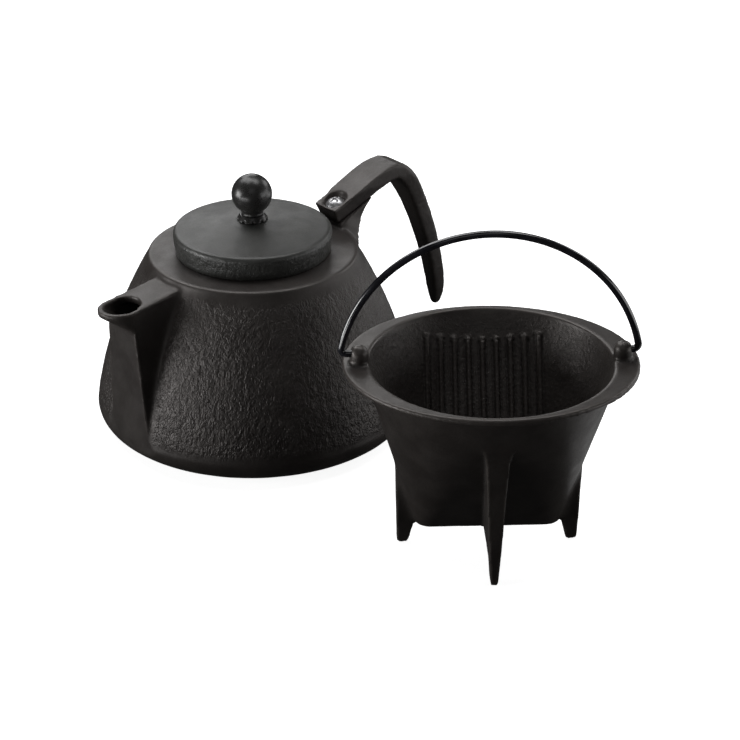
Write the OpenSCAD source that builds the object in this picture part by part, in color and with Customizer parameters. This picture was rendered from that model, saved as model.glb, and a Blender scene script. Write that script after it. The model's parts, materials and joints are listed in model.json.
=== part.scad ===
// Cast-iron teapot with its drip cone. The cone stands beside the pot here; in use it stands on the
// pot's shoulder in place of the lid. The origin is on the floor at the centre of the pot's base,
// +Z is up, the spout points to -X and the handle to +X.

/* [Pot] */
// Largest radius of the pot, just above its base
pot_r = 80.4; // [76:0.1:86]
// Height at which the pot is widest
widest_z = 13; // [10:0.5:18]
// Radius of the flat base
base_r = 63; // [56:0.5:66]
// Outer radius of the flat shoulder round the mouth
shoulder_r = 51.4; // [49:0.1:54]
// Height of the shoulder
shoulder_z = 91.5; // [88:0.5:95]
// How far the flank bulges beyond a straight line
flank_bulge = 4.3; // [0:0.1:6]
// Thickness of the iron
wall = 3.2; // [2.5:0.1:4]
// Radius of the mouth
mouth_r = 34; // [32:0.5:35]

/* [Spout] */
// Distance from the pot's axis to the top of the spout's flat front face
spout_front = 80.4; // [79:0.1:82]
// Distance from the pot's axis to the tip of the lip
lip_reach = 91.5; // [88:0.1:94]
// Height of the lip
lip_z = 84.3; // [83:0.1:85]
// Half width of the spout at its top
spout_half_w = 10.3; // [9:0.1:12]
// How much wider each side gets for each millimetre further down
spout_splay = 0.072; // [0:0.001:0.1]

/* [Handle] */
// Half width of the handle where the screw goes in
strap_half_w = 8.8; // [7.5:0.1:10]
// Height of the top face at the handle's square end
strap_end_z = 101.2; // [100:0.1:103]
// Slope of the handle's seat, in degrees
seat_angle = 24; // [20:1:28]
// Thickness of the handle at the screw
strap_t = 8; // [7:0.1:9]
// Distance from the pot's axis to the screw
screw_x = 53; // [52:0.1:54]
// Diameter of the handle screw's head
screw_head_d = 10; // [8.5:0.1:10]
// Diameter of the handle screw's shank
screw_d = 5; // [4:0.5:5]

/* [Lid] */
// Radius of the lid's top face
lid_top_r = 38.7; // [37:0.1:40]
// Height of the lid's top face
lid_top_z = 103.3; // [101:0.1:106]
// Radius of the lid's lower edge
lid_skirt_r = 38.2; // [37:0.1:39.5]
// Depth of the ring that drops into the mouth
lid_plug_h = 9; // [6:0.5:12]
// Radius of the knob's ball
knob_r = 10; // [8:0.1:12]
// Height of the centre of the knob's ball
knob_z = 121; // [120.5:0.1:124]
// How far the lid's top rises from its edge to its centre
lid_rise = 4.4; // [2:0.1:5]

/* [Drip cone] */
// Distance of the cone's axis from the pot's axis, along X
cone_x = 3.7; // [0:0.1:6]
// Distance of the cone's axis from the pot's axis, along Y
cone_y = -168.1; // [-190:0.1:-160]
// Turn of the cone about its axis, in degrees
cone_turn = -38.3; // [-45:0.1:-30]
// Radius of the cone's opening
cone_r = 55; // [50:0.5:60]
// Height of the top of the flange
flange_z = 92.6; // [90:0.1:96]
// Thickness of the flange
flange_t = 2.6; // [2:0.1:3.5]
// Half length of the flange, from lug to lug
flange_half_l = 66.5; // [65:0.1:68]
// Half width of the flange, across the lugs
flange_half_w = 58.1; // [57:0.1:60]
// Half length of the cone's narrow floor
floor_half_l = 33.5; // [28:0.5:36]
// Half width of the cone's narrow floor
floor_half_w = 7; // [6:0.5:10]
// Clearance under the cone's floor
floor_z = 10.8; // [6:0.1:12]
// Distance from the cone's axis to the outer edge of each fin
fin_r = 41.8; // [38:0.1:43]
// Number of flow ribs on each wall
ribs = 9; // [5:2:11]
// Distance between neighbouring ribs
rib_pitch = 6.5; // [5:0.1:6.6]

/* [Bail] */
// Diameter of the bail's wire
wire_d = 3.3; // [3:0.1:4]
// Radius of the bail's arch, to the middle of the wire
bail_r = 67.7; // [67.5:0.1:68.2]
// Height of the top of the arch, to the middle of the wire
bail_top_z = 153.7; // [150:0.1:158]
// Height of the pivots
pivot_z = 97; // [96.5:0.1:98]
// Gap all round a bail end in its lug
pivot_gap = 0.1; // [0.02:0.01:0.1]
// How far the bail has slid along its pivots, towards one lug
bail_slide = 0.7; // [0:0.1:0.8]

/* [Hidden] */
$fn = 96;
eps = 0.01;
iron = "#3d3b39";
satin_iron = "#4c4f4c";
steel = "#c9cccf";
black_wire = "#17181a";

// ---- Pot outline -------------------------------------------------------------------------------
flank_h = shoulder_z - widest_z;
function flank_r(z) = let (t = (z - widest_z) / flank_h)
    pot_r + (shoulder_r - pot_r) * t + 4 * flank_bulge * t * (1 - t);
edge_r = 1.6;
inner_floor = 4;
cavity_top = shoulder_z - 3.6;

// Outline of the pot from its axis outwards and up: flat base, round tuck, flank, soft edge, shoulder
function pot_outline() = concat(
    [[0, 0]],
    [for (a = [0:10:90]) [base_r + (pot_r - base_r) * sin(a), widest_z * (1 - cos(a))]],
    [for (i = [1:11]) let (z = widest_z + (flank_h - edge_r) * i / 11) [flank_r(z), z]],
    [for (a = [30:30:90]) [flank_r(shoulder_z - edge_r) - edge_r * (1 - cos(a)),
        shoulder_z - edge_r * (1 - sin(a))]],
    [[0, shoulder_z]]);

// Outline of the hollow inside, one wall thickness in from the outside
function cavity_outline() = concat(
    [[0, inner_floor]],
    [for (a = [0:15:90]) [base_r - 2 + (pot_r - wall - base_r + 2) * sin(a),
        inner_floor + (widest_z - 1) * (1 - cos(a))]],
    [for (i = [1:8]) let (z = widest_z + 3 + (cavity_top - 5 - widest_z - 3) * i / 8)
        [flank_r(z) - wall, z]],
    [[flank_r(cavity_top) - wall - 4, cavity_top], [0, cavity_top]]);

// ---- Spout ---------------------------------------------------------------------------------------
face_foot = [-78, 10];
face_top = [-spout_front, 74];
function face_x(z) = face_foot[0] + (face_top[0] - face_foot[0]) * (z - face_foot[1])
    / (face_top[1] - face_foot[1]);
lip_centre = -80;
lip_t = 2.6;
spout_wall = 2.6;
function spout_w(z) = spout_half_w + (lip_z - z) * spout_splay;
spout_join_z = 88.7;

// Points on the right of the middle, then the same points mirrored, as one closed outline
function both_sides(pts) = concat(pts, [for (i = [len(pts) - 1:-1:0]) [-pts[i][0], pts[i][1]]]);

// Solid of the given outline in the X-Z plane, centred on Y = 0
module side_on(w) { rotate([90, 0, 0]) translate([0, 0, -w]) linear_extrude(2 * w) children(); }
// Solid of the given outline in the Y-Z plane, from x0 to x1
module end_on(x0, x1) { translate([x0, 0, 0]) rotate([90, 0, 90]) linear_extrude(x1 - x0) children(); }
// Ellipse with half axes a and b
module oval(a, b) { polygon([for (t = [0:6:354]) [a * cos(t), b * sin(t)]]); }

// Wedge between the flank and the flat front face
module spout_wedge() {
    intersection() {
        side_on(40) polygon([[-30, 12], [face_x(12), 12], [face_x(78), 78], [lip_centre, lip_z + 0.2],
            [-48, spout_join_z + 0.3], [-30, spout_join_z + 0.3]]);
        end_on(-90, -30) polygon(both_sides([[spout_w(12), 12], [spout_w(90), 90]]));
    }
}

// Pouring lip, flaring forwards from the front face
module spout_lip() {
    hull() {
        translate([lip_centre, 0, lip_z - lip_t]) linear_extrude(lip_t)
            oval(lip_reach + lip_centre, spout_half_w);
        translate([face_x(74) + 0.2, -spout_w(74) + 0.3, 74]) cube([9, 2 * spout_w(74) - 0.6, 1]);
    }
}

// Hollow of the spout, open to the inside of the pot
module spout_hollow() {
    intersection() {
        side_on(40) polygon([[-40, 16], [face_x(16) + spout_wall, 16], [face_x(78) + spout_wall, 78],
            [face_x(78) + spout_wall, lip_z - 3.4], [-50, spout_join_z - 4], [-40, spout_join_z - 4]]);
        end_on(-90, -30) polygon(both_sides([[spout_w(16) - spout_wall, 16],
            [spout_w(84) - spout_wall, 84]]));
    }
    hull() {
        translate([lip_centre + 0.3, 0, lip_z]) linear_extrude(3) oval(9.4, spout_half_w - 2.2);
        translate([-74, 0, 73]) linear_extrude(1) oval(3.6, spout_half_w - 2.4);
    }
}

// ---- Handle seat and screw -------------------------------------------------------------------------
strap_end_x = 46;
seat_rise = tan(seat_angle);
strap_drop = strap_t / cos(seat_angle);
function top_face(x) = strap_end_z + (x - strap_end_x) * seat_rise;
function seat_z(x) = top_face(x) - strap_drop;
screw_tilt = 12;
screw_seat_z = strap_end_z + 0.4;
recess_d = screw_head_d + 1.4;
screw_len = 10.5;
head_h = 2.8;

// Places its children under the screw's head, which sits in a flat spot-facing
module at_screw() { translate([screw_x, 0, screw_seat_z]) rotate([0, -screw_tilt, 0]) children(); }

// Lug cast on the pot, between the shoulder and the handle, flaring down into the flank
module handle_lug() {
    intersection() {
        side_on(20) polygon(concat([[48.6, shoulder_z - 4], [48.6, seat_z(48.6)]],
            [for (k = [0:4]) beside(handle_line[1], k / steps, -strap_t / 2)],
            [[70, 102.7], [67, 100.1], [64.9, 97.2], [62.8, 93.6], [60.7, 90], [58.2, 86], [55.8, 82],
            [50, 78]]));
        end_on(40, 80) polygon(both_sides([[17, 78], [16, 82], [13.2, 85.4], [11.2, 88.5],
            [9.8, 91.5], [9, 94.5], [strap_half_w, 97], [strap_half_w, 104]]));
    }
}

module pot_body() {
    color(iron) difference() {
        union() {
            difference() {
                union() {
                    rotate_extrude($fn = 180) polygon(pot_outline());
                    spout_wedge();
                }
                // Flat front face, which also cuts the round belly
                side_on(60) polygon([[face_x(-1), -1], [face_x(100), 100], [-120, 100], [-120, -1]]);
            }
            spout_lip();
            handle_lug();
        }
        rotate_extrude($fn = 180) polygon(cavity_outline());
        spout_hollow();
        translate([0, 0, cavity_top - 2]) cylinder(h = 10, r = mouth_r);
        at_screw() translate([0, 0, -screw_len - 0.3]) cylinder(h = screw_len, r = screw_d / 2 + 0.02);
    }
}

// ---- Handle ----------------------------------------------------------------------------------------
// Middle line of the handle: straight over the lug, then three Bezier arcs over the top and down
line_start = [strap_end_x + strap_t / 2 * sin(seat_angle), strap_end_z - strap_t / 2 * cos(seat_angle)];
strap_run = [cos(seat_angle), sin(seat_angle)];
line_lift = line_start + 18 * strap_run;
handle_line = [
    [line_start, line_start + 6 * strap_run, line_start + 12 * strap_run, line_lift],
    [line_lift, line_lift + 6.5 * strap_run, [79.5, 112.5], [88, 112.5]],
    [[88, 112.5], [98, 112.5], [115.7, 73], [121.2, 43]],
    [[121.2, 43], [122.1, 37], [122.6, 32], [122.2, 27]]];
function bezier(p, t) = pow(1 - t, 3) * p[0] + 3 * pow(1 - t, 2) * t * p[1]
    + 3 * (1 - t) * t * t * p[2] + t * t * t * p[3];
function bezier_run(p, t) = pow(1 - t, 2) * (p[1] - p[0]) + 2 * (1 - t) * t * (p[2] - p[1])
    + t * t * (p[3] - p[2]);
function unit(v) = v / norm(v);
// Point on the handle's outline at distance d from the middle line, on its upper side where d > 0
function beside(p, t, d) = let (u = unit(bezier_run(p, t))) bezier(p, t) + d * [-u[1], u[0]];
// Thickness along each of the four stretches
function handle_t(i, t) = i < 2 ? strap_t : i == 2 ? strap_t + 0.9 * sin(180 * t)
    : strap_t - 3.4 * t * t;
steps = 10;
function handle_side(s) = [for (i = [0:3]) for (k = [(i == 0 ? 0 : 1):steps])
    beside(handle_line[i], k / steps, s * handle_t(i, k / steps) / 2)];
function reversed(v) = [for (i = [len(v) - 1:-1:0]) v[i]];
tip_r = handle_t(3, 1) / 2;
tip = handle_line[3][3];

module handle() {
    color(iron) difference() {
        intersection() {
            union() {
                side_on(12) polygon(concat(handle_side(1), reversed(handle_side(-1))));
                translate([tip[0], 12, tip[1]]) rotate([90, 0, 0]) cylinder(h = 24, r = tip_r);
            }
            end_on(30, 140) polygon(both_sides([[0.6, 24.4], [2.2, 26], [3.3, 29.5], [4.2, 36], [4.7, 46],
                [5.3, 62], [5.9, 80], [6.6, 92], [7.6, 100], [strap_half_w, 108], [strap_half_w, 120]]));
        }
        at_screw() {
            cylinder(h = 12, r = recess_d / 2);
            translate([0, 0, -12]) cylinder(h = 13, r = screw_d / 2 + 0.3);
        }
    }
}

// ---- Screws ------------------------------------------------------------------------------------------
// Domed screw standing on Z = 0 with its shank below, and a cross recess in its head
module domed_screw(head_d, head_h, shank_d, shank_l) {
    dome_r = (head_d * head_d / 4 + head_h * head_h) / (2 * head_h);
    difference() {
        intersection() {
            translate([0, 0, head_h - dome_r]) sphere(r = dome_r);
            cylinder(h = head_h + 1, r = head_d / 2);
        }
        for (a = [0, 90]) rotate([0, 0, a]) translate([-head_d * 0.27, -head_d * 0.055, head_h * 0.35])
            cube([head_d * 0.54, head_d * 0.11, head_h]);
    }
    translate([0, 0, -shank_l]) cylinder(h = shank_l + eps, r = shank_d / 2);
}

module handle_screw() {
    color(steel) at_screw() domed_screw(screw_head_d, head_h, screw_d, screw_len);
}

// ---- Lid and knob --------------------------------------------------------------------------------------
lid_crown_z = lid_top_z + lid_rise;
lid_plate_t = 4.2;
lid_plug_r = mouth_r - 0.6;
lid_screw_d = 5;
neck_r = 5.6;
washer_r = 7.6;
washer_t = 2.9;
knob_foot_z = lid_crown_z + washer_t;
lid_under_z = lid_crown_z - lid_plate_t;
lid_screw_top = knob_z - 3;
flat_washer_t = 1;

module lid() {
    color(satin_iron) rotate_extrude($fn = 180) polygon([[lid_screw_d / 2 + 0.1, lid_crown_z],
        [washer_r + 0.6, lid_crown_z], for (r = [11:4:35])
            [r, lid_crown_z - lid_rise * pow((r - washer_r) / (lid_top_r - 1 - washer_r), 1.2)],
        [lid_top_r - 1, lid_top_z], [lid_top_r, lid_top_z - 0.5],
        [lid_top_r + 0.6, lid_top_z - 1.8], [lid_top_r + 0.5, lid_top_z - 4],
        [lid_skirt_r, shoulder_z], [lid_plug_r, shoulder_z], [lid_plug_r - 0.3, shoulder_z - lid_plug_h],
        [lid_plug_r - 2.8, shoulder_z - lid_plug_h], [lid_plug_r - 3.2, lid_under_z - 2.5],
        [lid_plug_r - 5.5, lid_under_z], [lid_screw_d / 2 + 0.1, lid_under_z]]);
}

module knob() {
    color(iron) difference() {
        union() {
            translate([0, 0, knob_z]) sphere(r = knob_r);
            rotate_extrude() polygon([[0, knob_foot_z], [neck_r, knob_foot_z],
                [neck_r - 0.3, knob_foot_z + 1.4], [neck_r + 0.8, knob_z - 7.4], [0, knob_z - 6]]);
        }
        translate([0, 0, knob_foot_z - 1]) cylinder(h = lid_screw_top + 2 - knob_foot_z,
            r = lid_screw_d / 2 + 0.02);
    }
}

// Conical washer between the knob and the lid, notched all round like a flower
module knob_washer() {
    petals = 10;
    color(iron) translate([0, 0, lid_crown_z]) difference() {
        rotate_extrude() polygon([[lid_screw_d / 2 + 0.1, 0], [washer_r, 0], [washer_r, 0.7],
            [neck_r + 0.5, washer_t], [lid_screw_d / 2 + 0.1, washer_t]]);
        for (i = [0:petals - 1]) rotate([0, 0, (i + 0.5) * 360 / petals])
            translate([washer_r + 0.4, 0, -1]) cylinder(h = washer_t + 2, r = 1.1, $fn = 24);
    }
}

module lid_screw_washer() {
    color(steel) translate([0, 0, lid_under_z - flat_washer_t]) difference() {
        cylinder(h = flat_washer_t, r = 6);
        translate([0, 0, -1]) cylinder(h = flat_washer_t + 2, r = lid_screw_d / 2 + 0.1);
    }
}

module lid_screw() {
    seat = lid_under_z - flat_washer_t;
    color(steel) translate([0, 0, seat]) mirror([0, 0, 1])
        domed_screw(9.4, 2.4, lid_screw_d, lid_screw_top - seat);
}

// ---- Drip cone -------------------------------------------------------------------------------------------
cone_wall = 2.9;
under_flange_z = flange_z - flange_t;
rib_w = 2;
rib_h = 0.9;
rib_top_z = 80;
nozzle_r = 5;
drain_r = 2.4;
lug_r = 4.3;
lug_x = 59;
pin_in = 57.4;
lug_hole_r = wire_d / 2 + pivot_gap;

// Places its children in the cone's own frame: axis on Z, lugs and bail ends along X
module at_cone() { translate([cone_x, cone_y, 0]) rotate([0, 0, cone_turn]) children(); }

// Round at the top, narrowing to a slot with round ends at the bottom
module funnel(top_r, top_z, bottom_l, bottom_w, bottom_z) {
    hull() {
        translate([0, 0, top_z]) cylinder(h = 1, r = top_r);
        for (s = [-1, 1]) translate([s * (bottom_l - bottom_w), 0, bottom_z])
            cylinder(h = 1, r = bottom_w);
    }
}
module funnel_outside() { funnel(57.4, under_flange_z, floor_half_l, floor_half_w, floor_z); }
module funnel_inside(inset) {
    funnel(cone_r - inset, flange_z, floor_half_l - 2.4 - inset, floor_half_w - 2.4 - inset,
        floor_z + cone_wall);
}

// One fin, standing towards -Y: its outer edge is nearly upright and ends in a small foot
module fin() {
    intersection() {
        rotate([0, 0, -90]) side_on(12) polygon([[4, floor_z + 1], [34, floor_z], [36.6, 0.6],
            [37.2, 0], [fin_r - 0.8, 0], [fin_r, 1], [fin_r + 1.4, 62], [fin_r + 2.4, 67],
            [fin_r + 6.4, 77], [20, 77]]);
        rotate([0, 0, -90]) end_on(0, 50) polygon(both_sides([[1.4, 0], [1.9, 3], [2.6, 14], [3.5, 32],
            [4.5, 52], [5.1, 62], [5.8, 67], [6.9, 72], [8.3, 75], [9.6, 77]]));
    }
}

module dripper_cone() {
    color(iron) at_cone() difference() {
        union() {
            difference() {
                union() {
                    funnel_outside();
                    translate([0, 0, under_flange_z]) linear_extrude(flange_t)
                        oval(flange_half_l, flange_half_w);
                    for (a = [0:90:270]) rotate([0, 0, a]) fin();
                    translate([0, 0, floor_z - 2]) cylinder(h = 3, r = nozzle_r);
                }
                funnel_inside(0);
            }
            // Flow ribs down the front and back walls
            intersection() {
                difference() {
                    for (i = [-(ribs - 1) / 2:(ribs - 1) / 2]) translate([i * rib_pitch - rib_w / 2,
                        -60, floor_z + 1]) cube([rib_w, 120, rib_top_z + 0.25 * i * i - floor_z]);
                    funnel_inside(rib_h);
                }
                funnel_outside();
            }
            for (s = [0, 180]) rotate([0, 0, s]) bail_lug();
        }
        translate([0, 0, -1]) cylinder(h = 20, r = drain_r);
        for (s = [0, 180]) rotate([0, 0, s]) translate([pin_in - bail_slide - 0.3, 0, pivot_z])
            rotate([0, 90, 0]) cylinder(h = 20, r = lug_hole_r);
    }
}

// Domed lug on the flange that takes one end of the bail
module bail_lug() {
    dome_z = pivot_z - 0.3;
    translate([lug_x, 0, dome_z]) sphere(r = lug_r);
    translate([lug_x, 0, under_flange_z + 1]) cylinder(h = dome_z - under_flange_z - 1, r = lug_r);
}

// ---- Bail ----------------------------------------------------------------------------------------------
bend_r = 2.4;
arch_z = bail_top_z - bail_r;
// Angle above the horizontal at which the arch gives way to the small bend above each pivot
arch_foot = asin((pivot_z + bend_r - arch_z) / (bail_r - bend_r));
bend_x = (bail_r - bend_r) * cos(arch_foot);

// Piece of wire bent to radius r about (cx, cz) in the X-Z plane, from angle a0 round by sweep. Both
// ends stop a hair short, and a ball covers each joint.
module bent_wire(cx, cz, r, a0, sweep) {
    short = 0.03 / r * 180 / PI;
    translate([cx, 0, cz]) rotate([90, 0, 0]) rotate([0, 0, a0 + short])
        rotate_extrude(angle = sweep - 2 * short) translate([r, 0]) circle(d = wire_d, $fn = 32);
}
module wire_joint(x, z) { translate([x, 0, z]) sphere(r = wire_d / 2 + 0.04, $fn = 32); }

module dripper_bail() {
    color(black_wire) at_cone() translate([-bail_slide, 0, 0]) {
        bent_wire(0, arch_z, bail_r, arch_foot, 180 - 2 * arch_foot);
        for (s = [0, 180]) rotate([0, 0, s]) {
            wire_joint(bail_r * cos(arch_foot), arch_z + bail_r * sin(arch_foot));
            bent_wire(bend_x, pivot_z + bend_r, bend_r, -90, 90 + arch_foot);
            wire_joint(bend_x, pivot_z);
            translate([pin_in, 0, pivot_z]) rotate([0, 90, 0])
                cylinder(h = bend_x - pin_in - 0.03, r = wire_d / 2, $fn = 32);
        }
    }
}

pot_body();
handle();
handle_screw();
lid();
knob();
knob_washer();
lid_screw();
lid_screw_washer();
dripper_cone();
dripper_bail();
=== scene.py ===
import json
import math
import time

import bmesh
import bpy
import numpy as np
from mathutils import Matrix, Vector


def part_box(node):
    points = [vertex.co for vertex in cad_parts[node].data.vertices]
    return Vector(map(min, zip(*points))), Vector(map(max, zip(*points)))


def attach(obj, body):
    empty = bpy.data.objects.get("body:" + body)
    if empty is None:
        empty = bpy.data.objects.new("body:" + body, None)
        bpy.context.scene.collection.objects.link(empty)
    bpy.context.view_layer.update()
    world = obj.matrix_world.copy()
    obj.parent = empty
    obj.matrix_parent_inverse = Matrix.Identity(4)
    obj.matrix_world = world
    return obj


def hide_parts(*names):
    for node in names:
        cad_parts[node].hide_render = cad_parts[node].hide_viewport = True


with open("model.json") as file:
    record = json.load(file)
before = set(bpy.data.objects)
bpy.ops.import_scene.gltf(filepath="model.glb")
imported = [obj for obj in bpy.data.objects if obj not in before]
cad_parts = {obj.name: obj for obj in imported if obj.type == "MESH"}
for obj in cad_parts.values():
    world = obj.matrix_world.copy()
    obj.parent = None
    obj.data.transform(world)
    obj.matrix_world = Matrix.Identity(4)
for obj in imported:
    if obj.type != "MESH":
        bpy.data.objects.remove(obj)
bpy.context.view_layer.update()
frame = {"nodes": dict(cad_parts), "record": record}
MM = 0.001
started = time.time()
hinge = next(j for j in frame["record"]["behaviour"]["joints"] if j["name"] == "bail_swing")

# ---- Camera, at the viewing angle of the picture being matched ------------------------------------
CAMERA_AT = (-0.63416, -0.83165, 0.55093)
CAMERA_HEADING = (0.6494, 0.7604)
CAMERA_DIP = math.radians(26.76)
SENSOR, FRAME_SIZE, FOCAL_LENGTH = 36, 740, 2300.6

camera_data = bpy.data.cameras.new("camera")
camera = bpy.data.objects.new("camera", camera_data)
bpy.context.scene.collection.objects.link(camera)
camera.location = CAMERA_AT
look = Vector((CAMERA_HEADING[0] * math.cos(CAMERA_DIP), CAMERA_HEADING[1] * math.cos(CAMERA_DIP),
               -math.sin(CAMERA_DIP)))
camera.rotation_euler = look.to_track_quat("-Z", "Y").to_euler()
camera_data.sensor_width = SENSOR
camera_data.lens = FOCAL_LENGTH / FRAME_SIZE * SENSOR
camera_data.clip_end = 20
bpy.context.scene.camera = camera


def box_mm(node):
    """The lowest and the highest corner of a CAD node, in mm."""
    return [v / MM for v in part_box(node)]


def tick(what):
    print(f"[{time.time() - started:6.1f} s] {what}")


# ---- Mesh tools -----------------------------------------------------------------------------------
def points_of(mesh):
    co = np.empty(len(mesh.vertices) * 3, np.float32)
    mesh.vertices.foreach_get("co", co)
    return co.reshape(-1, 3).astype(float)


def edges_of(mesh):
    e = np.empty(len(mesh.edges) * 2, np.int32)
    mesh.edges.foreach_get("vertices", e)
    return e.reshape(-1, 2)


def triangles_of(mesh):
    mesh.calc_loop_triangles()
    t = np.empty(len(mesh.loop_triangles) * 3, np.int32)
    mesh.loop_triangles.foreach_get("vertices", t)
    return t.reshape(-1, 3)


def put_points(mesh, co):
    mesh.vertices.foreach_set("co", co.astype(np.float32).ravel())
    mesh.update()


def normals_of(co, tri):
    """Vertex normals, weighted by area."""
    a, b, c = co[tri[:, 0]], co[tri[:, 1]], co[tri[:, 2]]
    n = np.cross(b - a, c - a)
    out = np.zeros_like(co)
    for k in range(3):
        for axis in range(3):
            out[:, axis] += np.bincount(tri[:, k], n[:, axis], len(co))
    return out / np.maximum(np.linalg.norm(out, axis=1, keepdims=True), 1e-12)


class Web:
    """The neighbours in a mesh, for smoothing."""

    def __init__(self, mesh):
        e = edges_of(mesh)
        self.a, self.b = np.concatenate([e[:, 0], e[:, 1]]), np.concatenate([e[:, 1], e[:, 0]])
        self.n = len(mesh.vertices)
        self.count = np.maximum(np.bincount(self.a, minlength=self.n), 1)[:, None]

    def pull(self, v):
        """From each vertex to the middle of its neighbours."""
        out = np.empty_like(v)
        for k in range(v.shape[1]):
            out[:, k] = np.bincount(self.a, v[self.b, k], self.n)
        return out / self.count - v


INWARD, OUTWARD = 0.5, 0.53


def even_out(co, web, steps):
    """Smooths away steps and softens edges without shrinking the shape."""
    for _ in range(steps):
        co = co + INWARD * web.pull(co)
        co = co - OUTWARD * web.pull(co)
    return co


def soften(co, web, steps, weight):
    """Rounds the shape where weight is above 0, and shrinks it there a little."""
    for _ in range(steps):
        co = co + INWARD * weight * web.pull(co)
    return co


GROW, GLIDE, STEPS_PER_NORMAL = 0.6, 0.3, 6


def fill_corners(co, mesh, tri, steps, near):
    """Grows a fillet in the inside corners where near(points) is above 0."""
    share = near(co)
    keep = share > 0
    grown = keep.copy()
    e = edges_of(mesh)
    grown[e[keep[e[:, 0]], 1]] = True
    grown[e[keep[e[:, 1]], 0]] = True
    index = np.cumsum(grown) - 1
    e = e[grown[e[:, 0]] & grown[e[:, 1]]]
    t = tri[grown[tri].all(1)]
    a, b = index[np.concatenate([e[:, 0], e[:, 1]])], index[np.concatenate([e[:, 1], e[:, 0]])]
    t, part = index[t], co[grown]
    w = np.where(keep, share, 0)[grown][:, None]
    count = np.maximum(np.bincount(a, minlength=len(part)), 1)[:, None]
    for step in range(steps):
        if step % STEPS_PER_NORMAL == 0:
            n = normals_of(part, t)
        pull = np.empty_like(part)
        for k in range(3):
            pull[:, k] = np.bincount(a, part[b, k], len(part))
        pull = pull / count - part
        rise = (pull * n).sum(1, keepdims=True)
        along = pull - rise * n
        part = part + w * (GROW * np.maximum(rise, 0) * n + GLIDE * along)
    co = co.copy()
    co[grown] = part
    return co


def ramp(x, lo, hi):
    """0 at lo and 1 at hi, smooth between them. lo may be above hi."""
    t = np.clip((x - lo) / (hi - lo), 0, 1)
    return t * t * (3 - 2 * t)


def lattice(ix, iy, iz, seed):
    """A repeatable number from -1 to 1 for each whole-number point."""
    h = (ix.astype(np.int64) * 374761393 + iy.astype(np.int64) * 668265263
         + iz.astype(np.int64) * 2147483647 + seed * 1274126177) & 0xFFFFFFFF
    h = ((h ^ (h >> 13)) * 1274126177) & 0xFFFFFFFF
    h = ((h ^ (h >> 16)) * 2246822519) & 0xFFFFFFFF
    return (h & 0xFFFFFF) / float(0x7FFFFF) - 1


def noise(p, seed):
    """Smooth 3-D value noise, about -1 to 1, one cell per unit."""
    cell = np.floor(p)
    f = p - cell
    f = f * f * f * (f * (f * 6 - 15) + 10)
    cell = cell.astype(np.int64)
    out = 0
    for dx in (0, 1):
        wx = f[:, 0] if dx else 1 - f[:, 0]
        for dy in (0, 1):
            wy = f[:, 1] if dy else 1 - f[:, 1]
            for dz in (0, 1):
                wz = f[:, 2] if dz else 1 - f[:, 2]
                out = out + wx * wy * wz * lattice(cell[:, 0] + dx, cell[:, 1] + dy,
                                                   cell[:, 2] + dz, seed)
    return out


def leather(p, cell, stretch, seed):
    """The wrinkled skin of a sand casting, from 0 to 1: soft pads about cell mm wide between creases,
    longer in Z by stretch."""
    q = p / cell * np.array([1, 1, 1 / stretch])
    q = q + 0.45 * np.stack([noise(q * 0.8 + 9, seed + k) for k in range(3)], 1)
    pads = np.abs(noise(q, seed + 5))
    fine = np.abs(noise(q * 1.7 + 4, seed + 6))
    lumps = 0.5 + 0.5 * noise(q * 0.6 + 17, seed + 7)
    return 0.45 * np.minimum(pads * 2, 1) + 0.3 * np.minimum(fine * 2, 1) + 0.25 * lumps


WELD = 2e-6


def casting(node, name, voxel, body):
    """A copy of a CAD node as an even, closed skin of faces about voxel mm wide, ready to shape."""
    source = frame["nodes"][node]
    mesh = source.data.copy()
    mesh.name = name
    mesh.materials.clear()
    obj = bpy.data.objects.new(name, mesh)
    bpy.context.scene.collection.objects.link(obj)
    bm = bmesh.new()
    bm.from_mesh(mesh)
    bmesh.ops.remove_doubles(bm, verts=bm.verts, dist=WELD)
    bm.to_mesh(mesh)
    bm.free()
    remesh = obj.modifiers.new("remesh", "REMESH")
    remesh.mode = "VOXEL"
    remesh.voxel_size = voxel * MM
    remesh.adaptivity = 0
    apply_modifiers(obj)
    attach(obj, body)
    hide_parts(node)
    return obj


def refine(mesh, chosen_of):
    """Splits each face in four where chosen_of(points in mm) is true."""
    bm = bmesh.new()
    bm.from_mesh(mesh)
    bm.verts.ensure_lookup_table()
    chosen = chosen_of(points_of(mesh) / MM)
    edges = [e for e in bm.edges if chosen[e.verts[0].index] and chosen[e.verts[1].index]]
    bmesh.ops.subdivide_edges(bm, edges=edges, cuts=1, use_grid_fill=True)
    bm.to_mesh(mesh)
    bm.free()


def apply_modifiers(obj):
    bpy.context.view_layer.update()
    shaped = bpy.data.meshes.new_from_object(obj.evaluated_get(bpy.context.evaluated_depsgraph_get()))
    old = obj.data
    obj.modifiers.clear()
    obj.data = shaped
    shaped.name = old.name
    bpy.data.meshes.remove(old)


def smooth_shading(mesh):
    mesh.polygons.foreach_set("use_smooth", [True] * len(mesh.polygons))
    mesh.update()


def opened(mesh):
    """A casting's points in mm, its neighbours and its triangles."""
    return points_of(mesh) / MM, Web(mesh), triangles_of(mesh)


def closed(obj, co, material):
    """Puts the shaped points and the material on a casting."""
    put_points(obj.data, co * MM)
    obj.data.materials.append(material)
    smooth_shading(obj.data)
    tick(f"{obj.name} done, {len(obj.data.polygons)} faces")


# ---- Materials ------------------------------------------------------------------------------------
CREASE = 0.14


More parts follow.
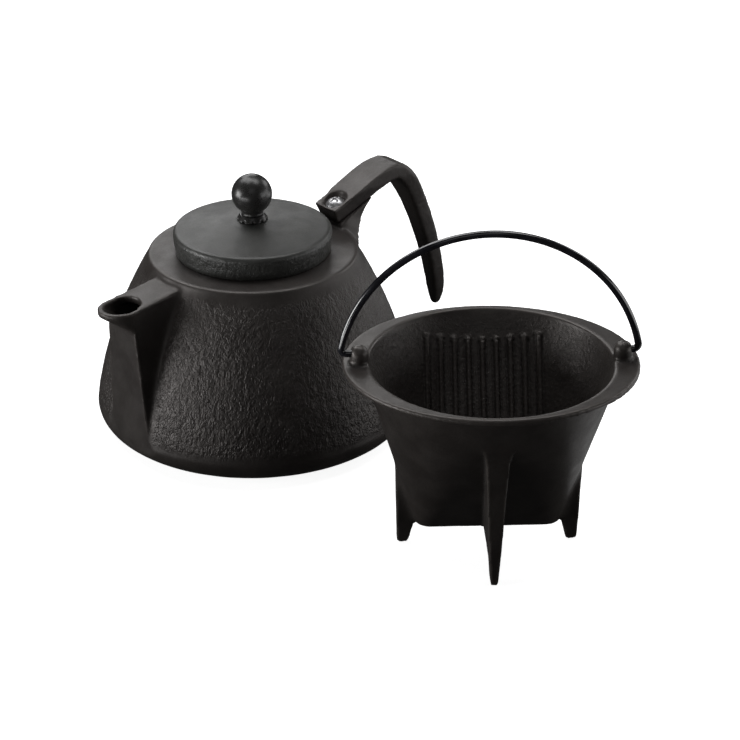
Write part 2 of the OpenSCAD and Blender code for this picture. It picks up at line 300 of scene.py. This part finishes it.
class Nodes:
    """Short names for building a node tree."""

    def __init__(self, name):
        self.material = bpy.data.materials.new(name)
        self.material.use_nodes = True
        self.tree = self.material.node_tree
        self.tree.nodes.clear()
        out = self.add("ShaderNodeOutputMaterial")
        self.shader = self.add("ShaderNodeBsdfPrincipled")
        self.link(self.shader.outputs[0], out.inputs[0])
        self.where = self.add("ShaderNodeTexCoord").outputs["Object"]

    def add(self, kind, **settings):
        node = self.tree.nodes.new(kind)
        for k, v in settings.items():
            setattr(node, k, v)
        return node

    def link(self, a, b):
        self.tree.links.new(a, b)

    def stretched(self, scale):
        """Object coordinates in mm, divided by scale in each direction."""
        m = self.add("ShaderNodeMapping")
        m.inputs["Scale"].default_value = [1 / MM / s for s in scale]
        self.link(self.where, m.inputs["Vector"])
        return m.outputs[0]

    def noise(self, size, detail=2.0, rough=0.5, scale=(1, 1, 1)):
        """Noise in lumps about size mm across, stretched by scale."""
        n = self.add("ShaderNodeTexNoise")
        n.inputs["Scale"].default_value = 1.0 / size
        n.inputs["Detail"].default_value = detail
        n.inputs["Roughness"].default_value = rough
        self.link(self.stretched(scale), n.inputs["Vector"])
        return n.outputs["Fac"]

    def spread(self, value, lo, hi, out_lo, out_hi):
        """Takes lo..hi to out_lo..out_hi, smoothly, and stops at both ends."""
        n = self.add("ShaderNodeMapRange")
        n.interpolation_type = "SMOOTHSTEP"
        for k, v in zip(("From Min", "From Max", "To Min", "To Max"), (lo, hi, out_lo, out_hi)):
            n.inputs[k].default_value = v
        self.link(value, n.inputs["Value"])
        return n.outputs[0]

    def feed(self, socket, value):
        """Links a socket to an output, or gives it a number or a colour."""
        if isinstance(value, bpy.types.NodeSocket):
            self.link(value, socket)
        else:
            socket.default_value = (*value, 1) if isinstance(value, tuple) else value

    def blend(self, share, a, b):
        n = self.add("ShaderNodeMix", data_type="RGBA")
        self.link(share, n.inputs[0])
        self.feed(n.inputs[6], a)
        self.feed(n.inputs[7], b)
        return n.outputs[2]

    def math(self, operation, a, b):
        n = self.add("ShaderNodeMath", operation=operation)
        self.feed(n.inputs[0], a)
        self.feed(n.inputs[1], b)
        return n.outputs[0]

    def attribute(self, name):
        return self.add("ShaderNodeAttribute", attribute_name=name).outputs["Fac"]

    def creases(self, value):
        """0 along the lines where a noise value crosses its middle, rising to 1 between them."""
        away = self.math("ABSOLUTE", self.math("SUBTRACT", value, 0.5), 0.0)
        return self.spread(away, 0.0, CREASE, 0, 1)

    def bump(self, height, distance, before=None):
        """A bump of height times distance mm, over the bump before it."""
        n = self.add("ShaderNodeBump")
        n.inputs["Strength"].default_value = 1.0
        n.inputs["Distance"].default_value = distance * MM
        self.link(height, n.inputs["Height"])
        if before is not None:
            self.link(before, n.inputs["Normal"])
        return n.outputs[0]


def iron(name, dark, light, rough, grain, coarse=0.0, stretch=1.0, cell=2.2, tint=(1, 1, 1)):
    """Cast iron under a thin black baked finish. grain is the height of its fine sand grain, and
    coarse that of the creased skin where the mesh's rough_skin is 1, both in mm. The creases lie
    cell mm apart, and stretch times that in Z. In the inside corners, where pale_edge_and_corner_shade
    is below 0, the finish is rougher and its colour is darkened as painted shade; on the edges, where it
    is above 0, its colour is paler."""
    m = Nodes(name)
    shade = m.blend(m.spread(m.noise(14, 3), 0.35, 0.68, 0, 1), dark, light)
    speck = m.spread(m.noise(0.9, 2), 0.38, 0.66, 0, 1)
    shade = m.blend(m.math("MULTIPLY", speck, 0.3), shade, tuple(0.6 * c for c in dark))
    pale_edge_and_shade = m.attribute("pale_edge_and_corner_shade")
    # Paler colour on the edges
    shade = m.blend(m.spread(pale_edge_and_shade, 0.1, 1.0, 0, 0.5), shade, tuple(1.6 * c for c in light))
    # Painted shade: the colour is darkened in the inside corners
    shade = m.blend(m.spread(pale_edge_and_shade, -0.1, -1.0, 0, 0.8), shade, tuple(0.25 * c for c in dark))
    m.link(shade, m.shader.inputs["Base Color"])
    patch = m.spread(m.noise(9, 3), 0.3, 0.7, rough - 0.04, rough + 0.05)
    dull = m.spread(pale_edge_and_shade, 0.0, -1.0, 0, 0.25)
    fleck = m.spread(m.noise(0.7, 2), 0.3, 0.7, -0.03, 0.04)
    m.link(m.math("ADD", m.math("ADD", patch, dull), fleck), m.shader.inputs["Roughness"])
    normal = m.bump(m.noise(0.55, 3, 0.6), grain)
    if coarse:
        long = (1, 1, stretch)
        pads = m.creases(m.noise(cell, 1, 0.5, long))
        fine = m.creases(m.noise(0.55 * cell, 1, 0.5, long))
        lumps = m.spread(m.noise(1.1 * cell, 2, 0.6, long), 0.3, 0.7, 0, 1)
        skin = m.math("ADD", m.math("MULTIPLY", pads, 0.3), m.math("MULTIPLY", fine, 0.25))
        skin = m.math("ADD", skin, m.math("MULTIPLY", lumps, 0.6))
        normal = m.bump(m.math("MULTIPLY", skin, m.attribute("rough_skin")), coarse, before=normal)
    m.link(normal, m.shader.inputs["Normal"])
    m.shader.inputs["Specular IOR Level"].default_value = 0.5
    m.shader.inputs["IOR"].default_value = 1.5
    m.shader.inputs["Specular Tint"].default_value = (*tint, 1)
    return m.material


WARM = ((0.0205, 0.0175, 0.0160), (0.031, 0.0272, 0.025))
NEUTRAL = ((0.025, 0.0255, 0.0235), (0.036, 0.0365, 0.0335))
BLACK = ((0.019, 0.0185, 0.018), (0.028, 0.0275, 0.026))
cast_skin = iron("cast_iron", *WARM, 0.42, 0.03, coarse=0.36, stretch=1.6, cell=1.9,
                 tint=(1, 0.945, 0.92))
cone_skin = iron("cone_iron", *WARM, 0.40, 0.025, coarse=0.14, cell=1.5, tint=(1, 0.945, 0.91))
lid_skin = iron("lid_iron", *NEUTRAL, 0.41, 0.03, coarse=0.2, stretch=1.2, cell=1.7)
knob_skin = iron("knob_iron", *BLACK, 0.29, 0.018)


def bright_steel(name):
    """Bare steel, a little tarnished."""
    m = Nodes(name)
    tarnish = m.spread(m.noise(1.5, 3), 0.35, 0.65, 0, 1)
    shade = m.blend(tarnish, (0.50, 0.50, 0.51), (0.64, 0.64, 0.65))
    m.link(shade, m.shader.inputs["Base Color"])
    m.link(m.spread(m.noise(0.4, 3), 0.3, 0.7, 0.30, 0.42), m.shader.inputs["Roughness"])
    m.link(m.bump(m.noise(0.35, 2), 0.01), m.shader.inputs["Normal"])
    m.shader.inputs["Metallic"].default_value = 1.0
    return m.material


def black_lacquer(name):
    """Glossy black paint on the wire."""
    m = Nodes(name)
    cloud = m.spread(m.noise(6, 2), 0.35, 0.65, 0, 1)
    shade = m.blend(cloud, (0.006, 0.006, 0.008), (0.014, 0.014, 0.018))
    m.link(shade, m.shader.inputs["Base Color"])
    m.link(m.spread(m.noise(6, 2), 0.3, 0.7, 0.15, 0.22), m.shader.inputs["Roughness"])
    m.shader.inputs["Coat Weight"].default_value = 0.6
    m.shader.inputs["Coat Roughness"].default_value = 0.12
    return m.material


steel_skin = bright_steel("bright_steel")
wire_skin = black_lacquer("black_wire")


def mark(mesh, name, values):
    a = mesh.attributes.new(name, "FLOAT", "POINT")
    a.data.foreach_set("value", values.astype(np.float32))


def mark_skin(mesh, co, web, tri, rough, full=0.09):
    """Writes what the iron material reads: where the creased skin shows, from 0 to 1, and the bend of
    the surface, from -1 in an inside corner to 1 on an edge. full is the bend in mm that counts as 1."""
    bend = -(web.pull(co) * normals_of(co, tri)).sum(1)[:, None]
    for _ in range(2):
        bend = bend + 0.5 * web.pull(bend)
    mark(mesh, "rough_skin", rough)
    # The bend, which the iron material paints as shade in the inside corners and as paler colour on the
    # edges
    mark(mesh, "pale_edge_and_corner_shade", np.clip(bend[:, 0] / full, -1, 1))


# ---- Pot ------------------------------------------------------------------------------------------
LID_LOW, LID_HIGH = box_mm("lid")
RING_DEEP = 9
POT_R, WIDEST_Z, BULGE = box_mm("pot_body")[1].y, 13, 4.3
SHOULDER_R, SHOULDER_Z = 51.4, LID_LOW.z + RING_DEEP
SPOUT_HALF, SPOUT_SPLAY, LIP_Z = 10.3, 0.072, 84.3
FLANK_SKIN, FLANK_SWELL, POT_WAVE = 0.24, 0.08, 0.05


def flank_r(z):
    """The pot's radius at each height."""
    t = np.clip((z - WIDEST_Z) / (SHOULDER_Z - WIDEST_Z), 0, 1)
    return POT_R + (SHOULDER_R - POT_R) * t + 4 * BULGE * t * (1 - t)


def past_spout(p):
    """How far each point is out from the spout's side faces, which draw together towards the lip."""
    return np.abs(p[:, 1]) - (SPOUT_HALF + (LIP_Z - p[:, 2]) * SPOUT_SPLAY)


def shape_pot():
    obj = casting("pot_body", "pot_casting", 0.85, "pot")
    mesh = obj.data
    co, web, tri = opened(mesh)
    co = even_out(co, web, 5)

    def spout_seam(p):
        r = np.hypot(p[:, 0], p[:, 1])
        wall = flank_r(p[:, 2])
        off = np.hypot(past_spout(p), r - wall)
        return np.where((p[:, 0] < -40) & (p[:, 2] > 8) & (r > wall - 2.4), ramp(-off, -9, -4), 0)

    def lug_seam(p):
        r = np.hypot(p[:, 0], p[:, 1])
        near = (p[:, 0] > 36) & (np.abs(p[:, 1]) < 24) & (p[:, 2] > 68) & (p[:, 2] < 99) & (r > 49)
        return np.where(near, ramp(99 - p[:, 2], 0, 4), 0)

    co = fill_corners(co, mesh, tri, 10, spout_seam)
    co = fill_corners(co, mesh, tri, 60, lug_seam)
    r = np.hypot(co[:, 0], co[:, 1])
    n = normals_of(co, tri)
    out = (n[:, :2] * co[:, :2]).sum(1) / np.maximum(r, 1)
    # The creased skin is on the outside of the flank only, and fades out by the spout and the lug
    on_flank = ramp(np.abs(r - flank_r(co[:, 2])), 1.6, 0.7) * (out > 0.4)
    on_flank *= ramp(co[:, 2], 14, 19) * ramp(co[:, 2], SHOULDER_Z - 3.5, SHOULDER_Z - 8.5)
    on_flank *= np.where(co[:, 0] < -30, ramp(past_spout(co), 0.5, 4), 1)
    by_lug = (co[:, 0] > 40) * ramp(22 - np.abs(co[:, 1]), 0, 6)
    on_flank *= 1 - by_lug * ramp(co[:, 2], 72, 80)
    mark_skin(mesh, co, web, tri, on_flank)
    broad = noise(co / 16, 3)
    skin = leather(co, 2.1, 1.6, 11)
    co = co + n * (on_flank * (FLANK_SKIN * (skin - 0.5) + FLANK_SWELL * broad))[:, None]
    co = co + n * ((1 - on_flank) * POT_WAVE * noise(co / 7, 21))[:, None]
    co[:, 2] = np.maximum(co[:, 2], 0)
    closed(obj, co, cast_skin)


# ---- Handle ---------------------------------------------------------------------------------------
STRAP_END_X, GRIP_X = 74, 104
HANDLE_CREASES = 0.12


def shape_handle():
    obj = casting("handle", "handle_casting", 0.5, "pot")
    mesh = obj.data
    co, web, tri = opened(mesh)
    co = even_out(co, web, 4)
    # The grip is well rounded, and the seat of the screw a soft-edged dish
    co = soften(co, web, 34, ramp(co[:, 0], STRAP_END_X, GRIP_X)[:, None])
    head_low, head_high = box_mm("handle_screw")
    head_x, head_r = (head_low.x + head_high.x) / 2, (head_high.x - head_low.x) / 2
    from_head = np.hypot(co[:, 0] - head_x, co[:, 1])
    dish = ramp(from_head, head_r - 0.6, head_r + 0.2)
    dish = dish * ramp(-from_head, -head_r - 4, -head_r - 2.5) * (co[:, 2] > head_high.z - 3)
    co = soften(co, web, 30, dish[:, None])
    n = normals_of(co, tri)
    co = co + n * (0.06 * noise(co / 5, 31) + 0.05 * noise(co / 1.6, 32))[:, None]
    mark_skin(mesh, co, web, tri, np.full(len(co), HANDLE_CREASES), 0.06)
    closed(obj, co, cast_skin)


# ---- Lid and small pieces -------------------------------------------------------------------------
SKIRT_R = 36
LID_SKIN, LID_WAVE = 0.34, 0.03


def shape_lid():
    obj = casting("lid", "lid_casting", 0.7, "lid")
    mesh = obj.data
    co, web, tri = opened(mesh)
    co = even_out(co, web, 5)
    n = normals_of(co, tri)
    r, z, top = np.hypot(co[:, 0], co[:, 1]), co[:, 2], LID_HIGH.z
    skirt = ramp(r, SKIRT_R, 37.4) * ramp(z, SHOULDER_Z + 0.4, SHOULDER_Z + 2.2)
    skirt = skirt * ramp(-z, -top + 4.6, -top + 7.6)
    under = ((z < top - 6) & (r < SKIRT_R)).astype(float) * 0.4
    rough = np.maximum(skirt, under)
    co = co + n * (rough * LID_SKIN * (leather(co, 2.4, 1.1, 41) - 0.55))[:, None]
    co = co + n * ((1 - rough) * LID_WAVE * noise(co / 4, 42))[:, None]
    mark_skin(mesh, co, web, tri, rough, 0.08)
    closed(obj, co, lid_skin)


def shape_small(node, name, voxel, body, material, steps, wave=0.0):
    obj = casting(node, name, voxel, body)
    co, web, tri = opened(obj.data)
    co = even_out(co, web, steps)
    if wave:
        co = co + normals_of(co, tri) * (wave * noise(co / 2.5, 51))[:, None]
    closed(obj, co, material)


# ---- Drip cone ------------------------------------------------------------------------------------
CONE_X, CONE_Y = hinge["pos_m"][0] / MM, hinge["pos_m"][1] / MM
PIVOT_Z = hinge["pos_m"][2] / MM
LUG_WAY = np.array(hinge["axis"][:2])
FOOT_Z, FLANGE_Z = 12, 92.6
RIB_PITCH, RIB_TOP, RIB_PROUD = 6.5, 80, 0.35
GROOVE_AT, GROOVE_DEEP = 1.75, 0.3
CONE_SKIN, CONE_SKIN_ENDS, CONE_WAVE = 0.10, 0.16, 0.05


def cone_way(p):
    """How far each point is from the cone's axis, along the lugs and across them."""
    off = p[:, :2] - [CONE_X, CONE_Y]
    return off @ LUG_WAY, off @ [-LUG_WAY[1], LUG_WAY[0]]


def ribbed(p):
    """Where the far wall's ribs are, which the camera sees: they need smaller faces."""
    (x, y), z = cone_way(p), p[:, 2]
    inside = y < 9.5 + (z - FOOT_Z) * 0.62
    return (np.abs(x) < 29) & (y > 0) & (z < 87) & (z > 34) & inside


def shape_cone():
    obj = casting("dripper_cone", "cone_casting", 0.8, "dripper")
    mesh = obj.data
    refine(mesh, ribbed)
    co, web, tri = opened(mesh)
    co = even_out(co, web, 4)

    def fin_seam(p):
        x, y = cone_way(p)
        inside = np.hypot(x, y) < 33 + (p[:, 2] - FOOT_Z) * 0.23
        near = np.minimum(np.abs(x), np.abs(y)) < 13
        return np.where(near & ~inside & (p[:, 2] > 10) & (p[:, 2] < 89), 1.0, 0)

    co = fill_corners(co, mesh, tri, 45, fin_seam)
    x, y = cone_way(co)
    n = normals_of(co, tri)
    toward = (n[:, :2] * (co[:, :2] - [CONE_X, CONE_Y])).sum(1)
    bowl = ramp(-toward, 1, 6) * ramp(FLANGE_Z - co[:, 2], 0.5, 3)
    bowl = bowl * (n[:, 2] > 0.02) * (co[:, 2] > FOOT_Z)
    ends = ramp(np.abs(x), 26, 31)
    # Each rib is raised along its crest and cut along its two sides
    rib = x - RIB_PITCH * np.round(x / RIB_PITCH)
    rib_top = RIB_TOP + 0.25 * np.round(x / RIB_PITCH) ** 2
    on_ribs = bowl * ramp(-np.abs(x), -29, -27.8) * ramp(rib_top - co[:, 2], -0.2, 1.2)
    crest = RIB_PROUD * ramp(-np.abs(rib), -1.1, -0.5)
    groove = GROOVE_DEEP * ramp(-np.abs(np.abs(rib) - GROOVE_AT), -0.75, -0.2)
    co = co + n * (on_ribs * (crest - groove))[:, None]
    skin = leather(co, 2.1, 1.0, 61)
    co = co + n * (bowl * (CONE_SKIN + CONE_SKIN_ENDS * ends) * (skin - 0.55))[:, None]
    co = co + n * ((1 - bowl) * CONE_WAVE * noise(co / 6, 62))[:, None]
    co[:, 2] = np.maximum(co[:, 2], 0)
    mark_skin(mesh, co, web, tri, bowl, 0.06)
    closed(obj, co, cone_skin)


# ---- Bail -----------------------------------------------------------------------------------------
WIRE_R, BAIL_R, BEND_R, PIN_IN, SLID = 1.65, 67.7, 2.4, 57.4, 0.7
WIRE_SIDES = 28


def bail_line():
    """The wire's middle line from end to end, as points along the lugs and up, in mm."""
    arch_z = box_mm("dripper_bail")[1].z - WIRE_R - BAIL_R
    foot = math.asin((PIVOT_Z + BEND_R - arch_z) / (BAIL_R - BEND_R))
    bend_x = (BAIL_R - BEND_R) * math.cos(foot)
    pin = [(PIN_IN + k * (bend_x - PIN_IN) / 5, PIVOT_Z) for k in range(5)]
    bend = [(bend_x + BEND_R * math.sin(a), PIVOT_Z + BEND_R - BEND_R * math.cos(a))
            for a in np.linspace(0, math.pi / 2 + foot, 12)[:-1]]
    arch = [(BAIL_R * math.cos(a), arch_z + BAIL_R * math.sin(a))
            for a in np.linspace(foot, math.pi / 2, 70)]
    half = pin + bend + arch
    return np.array(half + [(-u, v) for u, v in reversed(half[:-1])])


def shape_bail():
    """One wire along the CAD bail's middle line, as a smooth closed tube."""
    line = bail_line()
    run = np.gradient(line, axis=0)
    run /= np.linalg.norm(run, axis=1, keepdims=True)
    along = np.array([LUG_WAY[0], LUG_WAY[1], 0])
    across = np.array([-LUG_WAY[1], LUG_WAY[0], 0])
    up = np.array([0, 0, 1])
    centre = np.array([CONE_X, CONE_Y, 0])
    bm = bmesh.new()
    rings = []
    for (u, v), (du, dv) in zip(line, run):
        middle = centre + (u - SLID) * along + v * up
        side = -dv * along + du * up
        rings.append([bm.verts.new((middle + WIRE_R * (math.cos(a) * across + math.sin(a) * side)) * MM)
                      for a in np.linspace(0, 2 * math.pi, WIRE_SIDES, endpoint=False)])
    for one, two in zip(rings, rings[1:]):
        for k in range(WIRE_SIDES):
            after = (k + 1) % WIRE_SIDES
            bm.faces.new((one[k], one[after], two[after], two[k]))
    bm.faces.new(rings[0])
    bm.faces.new(rings[-1])
    bmesh.ops.recalc_face_normals(bm, faces=bm.faces)
    mesh = bpy.data.meshes.new("bail_wire")
    bm.to_mesh(mesh)
    bm.free()
    smooth_shading(mesh)
    mesh.materials.append(wire_skin)
    obj = bpy.data.objects.new("bail_wire", mesh)
    bpy.context.scene.collection.objects.link(obj)
    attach(obj, "bail")
    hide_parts("dripper_bail")
    tick("bail_wire done")


shape_pot()
shape_handle()
shape_lid()
shape_cone()
shape_bail()
shape_small("knob", "knob_casting", 0.4, "lid", knob_skin, 6, wave=0.03)
shape_small("knob_washer", "flower_washer", 0.22, "lid", knob_skin, 5)
shape_small("handle_screw", "handle_screw_head", 0.16, "pot", steel_skin, 5)
for node in ("lid_screw", "lid_screw_washer"):
    mesh = frame["nodes"][node].data
    mesh.materials.clear()
    mesh.materials.append(steel_skin)

# ---- Floor and light ------------------------------------------------------------------------------
FLOOR_Z, FLOOR_GLOW, FILL_LIGHT = -0.0002, 0.9, 0.022

floor_mesh = bpy.data.meshes.new("floor")
bm = bmesh.new()
bmesh.ops.create_grid(bm, x_segments=8, y_segments=8, size=4)
bm.to_mesh(floor_mesh)
bm.free()
floor = bpy.data.objects.new("floor", floor_mesh)
floor.location.z = FLOOR_Z
bpy.context.scene.collection.objects.link(floor)
floor_skin = Nodes("floor_paint")
floor_skin.shader.inputs["Base Color"].default_value = (0.75, 0.75, 0.75, 1)
floor_skin.shader.inputs["Emission Color"].default_value = (1, 1, 1, 1)
floor_skin.shader.inputs["Emission Strength"].default_value = FLOOR_GLOW
floor_skin.shader.inputs["Roughness"].default_value = 0.9
floor_skin.shader.inputs["Specular IOR Level"].default_value = 0.0
floor_mesh.materials.append(floor_skin.material)
# The floor lets the low soft boxes and the cards below it shine through, and isn't reflected
floor.visible_glossy = False
floor.visible_diffuse = False
floor.visible_shadow = False

world = bpy.data.worlds.new("studio")
bpy.context.scene.world = world
world.use_nodes = True
tree = world.node_tree
tree.nodes.clear()
world_out = tree.nodes.new("ShaderNodeOutputWorld")


def backdrop(strength):
    node = tree.nodes.new("ShaderNodeBackground")
    node.inputs[0].default_value = (1, 1, 1, 1)
    node.inputs[1].default_value = strength
    return node


# White where the camera sees it, and a faint fill light everywhere else
seen, felt = backdrop(1.0), backdrop(FILL_LIGHT)
path = tree.nodes.new("ShaderNodeLightPath")
mix = tree.nodes.new("ShaderNodeMixShader")
tree.links.new(path.outputs["Is Camera Ray"], mix.inputs[0])
tree.links.new(felt.outputs[0], mix.inputs[1])
tree.links.new(seen.outputs[0], mix.inputs[2])
tree.links.new(mix.outputs[0], world_out.inputs[0])


def softbox(name, at, aim, size, power):
    data = bpy.data.lights.new(name, "AREA")
    data.shape = "RECTANGLE"
    data.size, data.size_y = size
    data.energy = power
    obj = bpy.data.objects.new(name, data)
    obj.location = at
    obj.rotation_euler = (Vector(aim) - Vector(at)).to_track_quat("-Z", "Y").to_euler()
    obj.visible_camera = False
    bpy.context.scene.collection.objects.link(obj)


MIDDLE, BOX_AWAY, BOX_SIZE, CARD_Z = Vector((0.0, -0.08, 0.06)), 2.0, (1.0, 0.8), -0.012
# Soft boxes all round: azimuth and elevation in degrees as seen from the object, and power in W.
# Azimuth 0 is towards -Y and 90 towards +X.
SOFT_BOXES = (
    ("top_right", 90, 70, 10.2),
    ("top_back", 180, 70, 10.6),
    ("back_high", 180, 46, 9.4),
    ("back_right", 150, 24, 5.2),
    ("right", 90, 24, 6.4),
    ("right_low", 60, 4, 4.7),
    ("front_low", 30, 4, 5.9),
    ("front_fill", 320, 40, 1.2),
    ("left_low", 240, 4, 25.0),
)
# Cards that send light up through the floor, in place of what it would reflect: azimuth, distance
# and size in m, and power in W
CARDS = (
    ("card_left", 270, 0.66, 0.5, 4.2),
    ("card_right", 90, 0.66, 0.5, 1.4),
    ("card_front", 45, 0.3, 0.28, 0.1),
)
for name, azimuth, elevation, power in SOFT_BOXES:
    a, e = math.radians(azimuth), math.radians(elevation)
    away = Vector((math.sin(a) * math.cos(e), -math.cos(a) * math.cos(e), math.sin(e)))
    softbox(name, MIDDLE + BOX_AWAY * away, MIDDLE, BOX_SIZE, power)
for name, azimuth, distance, size, power in CARDS:
    a = math.radians(azimuth)
    at = Vector((MIDDLE.x + distance * math.sin(a), MIDDLE.y - distance * math.cos(a), CARD_Z))
    softbox(name, at, at + Vector((0, 0, 1)), (size, size), power)

bpy.context.scene.view_settings.view_transform = "Standard"
bpy.context.scene.view_settings.look = "None"
tick("scene done")
